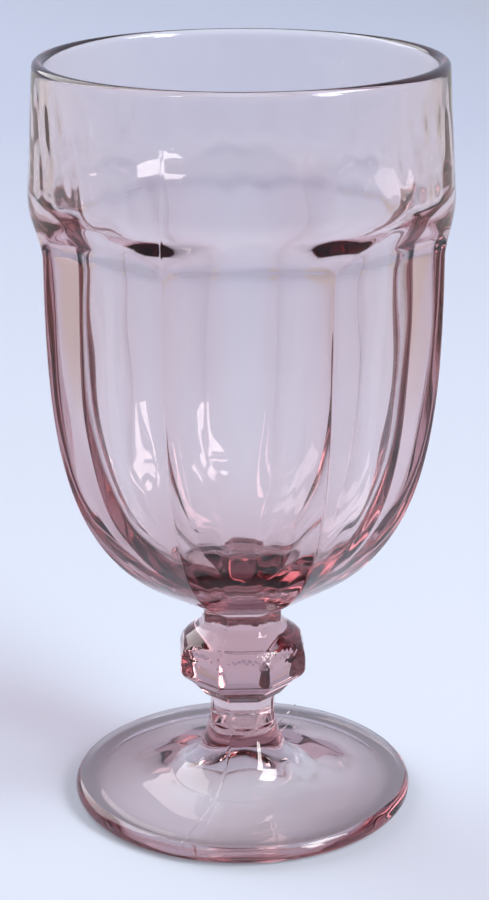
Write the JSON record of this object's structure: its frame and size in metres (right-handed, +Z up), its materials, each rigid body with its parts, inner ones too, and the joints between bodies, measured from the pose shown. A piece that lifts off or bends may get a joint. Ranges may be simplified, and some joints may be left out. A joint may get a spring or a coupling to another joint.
{
  "type": "iced tea glass",
  "caption": "Footed iced tea glass of pale rose pressed glass: deep panelled bowl under a smooth drinking band, short stem with a faceted knop, round foot.",
  "frame": {"origin": "centre of the resting plane, on the glass's axis, where the foot meets the table", "axes": "+Z up along the glass's axis, from the foot to the rim; the middle of one of the eight panels faces -Y"},
  "size_m": [0.0924, 0.0924, 0.1715],
  "materials": {
    "rose_glass": "clear pale rose-mauve pressed glass, fire-polished"
  },
  "bodies": {
    "root": {"bowl": "rose_glass", "upper_collar": "rose_glass", "knop": "rose_glass", "lower_collar": "rose_glass", "foot": "rose_glass"}
  },
  "joints": []
}
